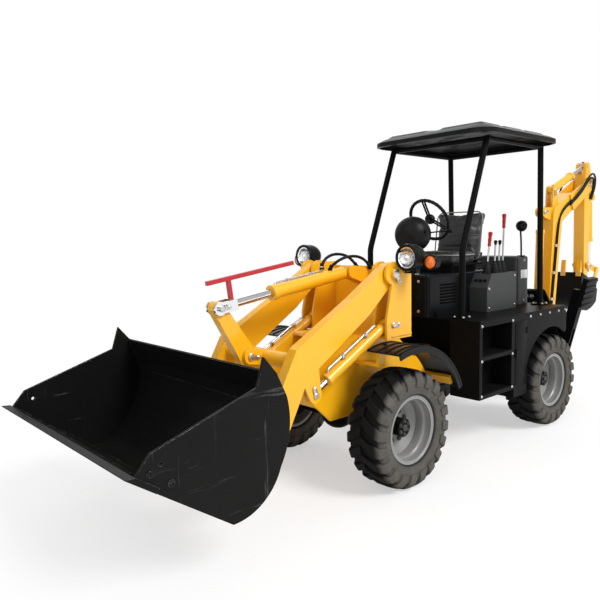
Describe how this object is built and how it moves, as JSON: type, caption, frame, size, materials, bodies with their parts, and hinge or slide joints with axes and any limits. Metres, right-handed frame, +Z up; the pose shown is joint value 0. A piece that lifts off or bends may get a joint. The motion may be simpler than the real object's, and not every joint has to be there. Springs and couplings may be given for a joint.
{
  "type": "articulated backhoe loader",
  "caption": "Compact articulated backhoe loader with a front bucket on cranked arms, an open canopy station, and a gooseneck digging arm with stabilisers behind",
  "frame": {"origin": "on the ground under the middle of the machine's overall length and width, as parked with the backhoe folded", "axes": "+X forward, +Y to the machine's left, +Z up"},
  "size_m": [6.2028, 1.582, 2.5003],
  "materials": {
    "yellow_paint": "semi-gloss amber yellow paint",
    "black_paint": "semi-gloss black paint",
    "grey_paint": "satin dark grey paint",
    "iron": "rough casting",
    "chrome_rod": "polished hard chrome",
    "black_plastic": "satin moulded black",
    "lens": "clear ribbed lens",
    "amber": "translucent amber",
    "red_paint": "gloss red paint",
    "seat_cover": "black vinyl with pale piping",
    "tyre": "dusty black rubber",
    "silver_rim": "silver grey paint"
  },
  "bodies": {
    "rear_frame": {"rear_frame": "black_paint", "rear_axle": "black_paint", "side_boxes": "black_paint", "deck": "black_paint", "hood": "black_paint", "lever_console": "grey_paint", "rear_box": "grey_paint", "engine_block": "iron", "seat_frame": "black_paint", "seat_cushion": "seat_cover", "seat_back": "seat_cover", "steering_column": "black_plastic", "steering_wheel": "black_plastic", "levers": "black_plastic", "canopy_posts": "black_paint", "canopy_roof": "black_plastic"},
    "front_frame": {"front_frame": "yellow_paint", "front_axle": "black_paint", "front_fenders": "black_plastic", "headlamps": "black_plastic", "lamp_lenses": "lens", "turn_signals": "amber"},
    "loader_arms": {"loader_arms": "yellow_paint"},
    "rocker": {"rocker": "yellow_paint"},
    "bucket_link": {"bucket_link": "yellow_paint"},
    "loader_bucket": {"loader_bucket": "black_paint"},
    "lift_barrels": {"lift_barrels": "yellow_paint"},
    "lift_rods": {"lift_rods": "chrome_rod"},
    "tilt_barrel": {"tilt_barrel": "yellow_paint"},
    "tilt_rod": {"tilt_rod": "chrome_rod", "level_bar": "red_paint"},
    "swing_post": {"swing_post": "yellow_paint"},
    "backhoe_boom": {"backhoe_boom": "yellow_paint"},
    "backhoe_dipper": {"backhoe_dipper": "yellow_paint"},
    "guide_links": {"guide_links": "yellow_paint"},
    "tip_link": {"tip_link": "yellow_paint"},
    "backhoe_bucket": {"backhoe_bucket": "black_paint", "bucket_teeth": "yellow_paint"},
    "boom_barrel": {"boom_barrel": "yellow_paint"},
    "boom_rod": {"boom_rod": "chrome_rod"},
    "dipper_barrel": {"dipper_barrel": "yellow_paint"},
    "dipper_rod": {"dipper_rod": "chrome_rod"},
    "curl_barrel": {"curl_barrel": "yellow_paint"},
    "curl_rod": {"curl_rod": "chrome_rod"},
    "steering_barrel": {"steering_barrel": "black_paint"},
    "steering_rod": {"steering_rod": "chrome_rod"},
    "stabiliser_left": {"stabiliser_left": "black_paint"},
    "stabiliser_barrel_left": {"stabiliser_barrel_left": "black_paint"},
    "stabiliser_rod_left": {"stabiliser_rod_left": "chrome_rod"},
    "stabiliser_right": {"stabiliser_right": "black_paint"},
    "stabiliser_barrel_right": {"stabiliser_barrel_right": "black_paint"},
    "stabiliser_rod_right": {"stabiliser_rod_right": "chrome_rod"},
    "wheel_front_left": {"tyre_front_left": "tyre", "rim_front_left": "silver_rim"},
    "wheel_front_right": {"tyre_front_right": "tyre", "rim_front_right": "silver_rim"},
    "wheel_rear_left": {"tyre_rear_left": "tyre", "rim_rear_left": "silver_rim"},
    "wheel_rear_right": {"tyre_rear_right": "tyre", "rim_rear_right": "silver_rim"}
  },
  "joints": [
    {"name": "articulation", "type": "hinge", "parent": "rear_frame", "child": "front_frame", "pos_m": [0.12762, 0, 0.6], "axis": [0, 0, 1], "range_deg": [-28, 28]},
    {"name": "spin_front_left", "type": "hinge", "parent": "front_frame", "child": "wheel_front_left", "pos_m": [1.07762, 0.558, 0.386], "axis": [0, 1, 0], "continuous": true},
    {"name": "spin_front_right", "type": "hinge", "parent": "front_frame", "child": "wheel_front_right", "pos_m": [1.07762, -0.558, 0.386], "axis": [0, 1, 0], "continuous": true},
    {"name": "spin_rear_left", "type": "hinge", "parent": "rear_frame", "child": "wheel_rear_left", "pos_m": [-0.82238, 0.558, 0.386], "axis": [0, 1, 0], "continuous": true},
    {"name": "spin_rear_right", "type": "hinge", "parent": "rear_frame", "child": "wheel_rear_right", "pos_m": [-0.82238, -0.558, 0.386], "axis": [0, 1, 0], "continuous": true},
    {"name": "loader_lift", "type": "hinge", "parent": "front_frame", "child": "loader_arms", "pos_m": [0.95762, 0, 1.375], "axis": [0, -1, 0], "range_deg": [-10, 85]},
    {"name": "bucket_curl", "type": "hinge", "parent": "loader_arms", "child": "loader_bucket", "pos_m": [2.16262, 0, 0.42], "axis": [0, 1, 0], "range_deg": [-8, 155]},
    {"name": "backhoe_swing", "type": "hinge", "parent": "rear_frame", "child": "swing_post", "pos_m": [-1.87238, 0, 0.6], "axis": [0, 0, 1], "range_deg": [-80, 80]},
    {"name": "boom_lower", "type": "hinge", "parent": "swing_post", "child": "backhoe_boom", "pos_m": [-2.01738, 0, 0.64], "axis": [0, -1, 0], "range_deg": [-5, 95]},
    {"name": "dipper_reach", "type": "hinge", "parent": "backhoe_boom", "child": "backhoe_dipper", "pos_m": [-2.86238, 0, 2.15], "axis": [0, 1, 0], "range_deg": [-5, 100]},
    {"name": "bucket_open", "type": "hinge", "parent": "backhoe_dipper", "child": "backhoe_bucket", "pos_m": [-2.84838, 0, 1.06], "axis": [0, 1, 0], "range_deg": [-10, 140]},
    {"name": "stabiliser_left_down", "type": "hinge", "parent": "rear_frame", "child": "stabiliser_left", "pos_m": [-1.52238, 0.42, 0.47], "axis": [-1, 0, 0], "range_deg": [0, 105]},
    {"name": "stabiliser_right_down", "type": "hinge", "parent": "rear_frame", "child": "stabiliser_right", "pos_m": [-1.52238, -0.42, 0.47], "axis": [1, 0, 0], "range_deg": [0, 105]},
    {"name": "rocker_turn", "type": "hinge", "parent": "loader_arms", "child": "rocker", "pos_m": [1.88962, 0, 0.9], "axis": [0, -1, 0], "range_deg": [-3.14, 44.16]},
    {"name": "link_turn", "type": "hinge", "parent": "rocker", "child": "bucket_link", "pos_m": [1.82383, 0, 0.57663], "axis": [0, 1, 0], "range_deg": [-7.31, 102.71]},
    {"name": "guide_turn", "type": "hinge", "parent": "backhoe_dipper", "child": "guide_links", "pos_m": [-2.85738, 0, 1.251], "axis": [0, 1, 0], "range_deg": [-6.71, 73.79]},
    {"name": "tip_turn", "type": "hinge", "parent": "guide_links", "child": "tip_link", "pos_m": [-3.06137, 0, 1.19328], "axis": [0, -1, 0], "range_deg": [-6.43, 70.78]},
    {"name": "lift_swivel", "type": "hinge", "parent": "front_frame", "child": "lift_barrels", "pos_m": [0.96762, 0, 1.03], "axis": [0, -1, 0], "range_deg": [-11.56, 84.44]},
    {"name": "lift_stroke", "type": "slide", "parent": "lift_barrels", "child": "lift_rods", "axis": [0.889, 0, -0.4579], "range_m": [-0.06566, 0.47946]},
    {"name": "tilt_swivel", "type": "hinge", "parent": "loader_arms", "child": "tilt_barrel", "pos_m": [0.95762, 0, 1.375], "axis": [0, -1, 0], "range_deg": [-0.16, 2.29]},
    {"name": "tilt_stroke", "type": "slide", "parent": "tilt_barrel", "child": "tilt_rod", "axis": [-0.9904, 0, 0.1383], "range_m": [-0.02007, 0.28202]},
    {"name": "boom_swivel", "type": "hinge", "parent": "swing_post", "child": "boom_barrel", "pos_m": [-1.85738, 0, 0.892], "axis": [0, -1, 0], "range_deg": [-7.4, 102.58]},
    {"name": "boom_stroke", "type": "slide", "parent": "boom_barrel", "child": "boom_rod", "axis": [-0.0426, 0, 0.9991], "range_m": [-0.03135, 0.4344]},
    {"name": "dipper_swivel", "type": "hinge", "parent": "backhoe_boom", "child": "dipper_barrel", "pos_m": [-2.11738, 0, 2.06], "axis": [0, -1, 0], "range_deg": [-0.86, 12.43]},
    {"name": "dipper_stroke", "type": "slide", "parent": "dipper_barrel", "child": "dipper_rod", "axis": [0.9332, 0, -0.3594], "range_m": [-0.01757, 0.25263]},
    {"name": "curl_swivel", "type": "hinge", "parent": "backhoe_dipper", "child": "curl_barrel", "pos_m": [-3.00738, 0, 2.01], "axis": [0, -1, 0], "range_deg": [-0.38, 4.14]},
    {"name": "curl_stroke", "type": "slide", "parent": "curl_barrel", "child": "curl_rod", "axis": [0.066, 0, 0.9978], "range_m": [-0.02258, 0.24843]},
    {"name": "steering_swivel", "type": "hinge", "parent": "rear_frame", "child": "steering_barrel", "pos_m": [-0.25238, -0.305, 0.6], "axis": [0, 0, 1], "range_deg": [-10.53, 10.53]},
    {"name": "steering_stroke", "type": "slide", "parent": "steering_barrel", "child": "steering_rod", "axis": [0.9962, 0.087, 0], "range_m": [-0.13674, 0.13674]},
    {"name": "stabiliser_left_swivel", "type": "hinge", "parent": "rear_frame", "child": "stabiliser_barrel_left", "pos_m": [-1.52238, 0.15, 1.015], "axis": [-1, 0, 0], "range_deg": [-0.06, 2.92]},
    {"name": "stabiliser_left_stroke", "type": "slide", "parent": "stabiliser_barrel_left", "child": "stabiliser_rod_left", "axis": [0, 0.6462, -0.7632], "range_m": [-0.00577, 0.29433]},
    {"name": "stabiliser_right_swivel", "type": "hinge", "parent": "rear_frame", "child": "stabiliser_barrel_right", "pos_m": [-1.52238, -0.15, 1.015], "axis": [1, 0, 0], "range_deg": [-0.06, 2.92]},
    {"name": "stabiliser_right_stroke", "type": "slide", "parent": "stabiliser_barrel_right", "child": "stabiliser_rod_right", "axis": [0, -0.6462, -0.7632], "range_m": [-0.00577, 0.29433]}
  ],
  "couplings": [
    {"joint": "rocker_turn", "follows": "bucket_curl", "ratio": 0.279},
    {"joint": "link_turn", "follows": "bucket_curl", "ratio": 0.649},
    {"joint": "guide_turn", "follows": "bucket_open", "ratio": 0.516},
    {"joint": "tip_turn", "follows": "bucket_open", "ratio": 0.495},
    {"joint": "lift_swivel", "follows": "loader_lift", "ratio": 0.9717},
    {"joint": "lift_stroke", "follows": "loader_lift", "m_per_rad": 0.31612},
    {"joint": "tilt_swivel", "follows": "bucket_curl", "ratio": 0.01444},
    {"joint": "tilt_stroke", "follows": "bucket_curl", "m_per_rad": 0.1021},
    {"joint": "boom_swivel", "follows": "boom_lower", "ratio": 1.0576},
    {"joint": "boom_stroke", "follows": "boom_lower", "m_per_rad": 0.25659},
    {"joint": "dipper_swivel", "follows": "dipper_reach", "ratio": 0.1217},
    {"joint": "dipper_stroke", "follows": "dipper_reach", "m_per_rad": 0.14177},
    {"joint": "curl_swivel", "follows": "bucket_open", "ratio": 0.02895},
    {"joint": "curl_stroke", "follows": "bucket_open", "m_per_rad": 0.09954},
    {"joint": "steering_swivel", "follows": "articulation", "ratio": 0.3617},
    {"joint": "steering_stroke", "follows": "articulation", "m_per_rad": 0.26904},
    {"joint": "stabiliser_left_swivel", "follows": "stabiliser_left_down", "ratio": 0.02728},
    {"joint": "stabiliser_left_stroke", "follows": "stabiliser_left_down", "m_per_rad": 0.15746},
    {"joint": "stabiliser_right_swivel", "follows": "stabiliser_right_down", "ratio": 0.02728},
    {"joint": "stabiliser_right_stroke", "follows": "stabiliser_right_down", "m_per_rad": 0.15746}
  ]
}
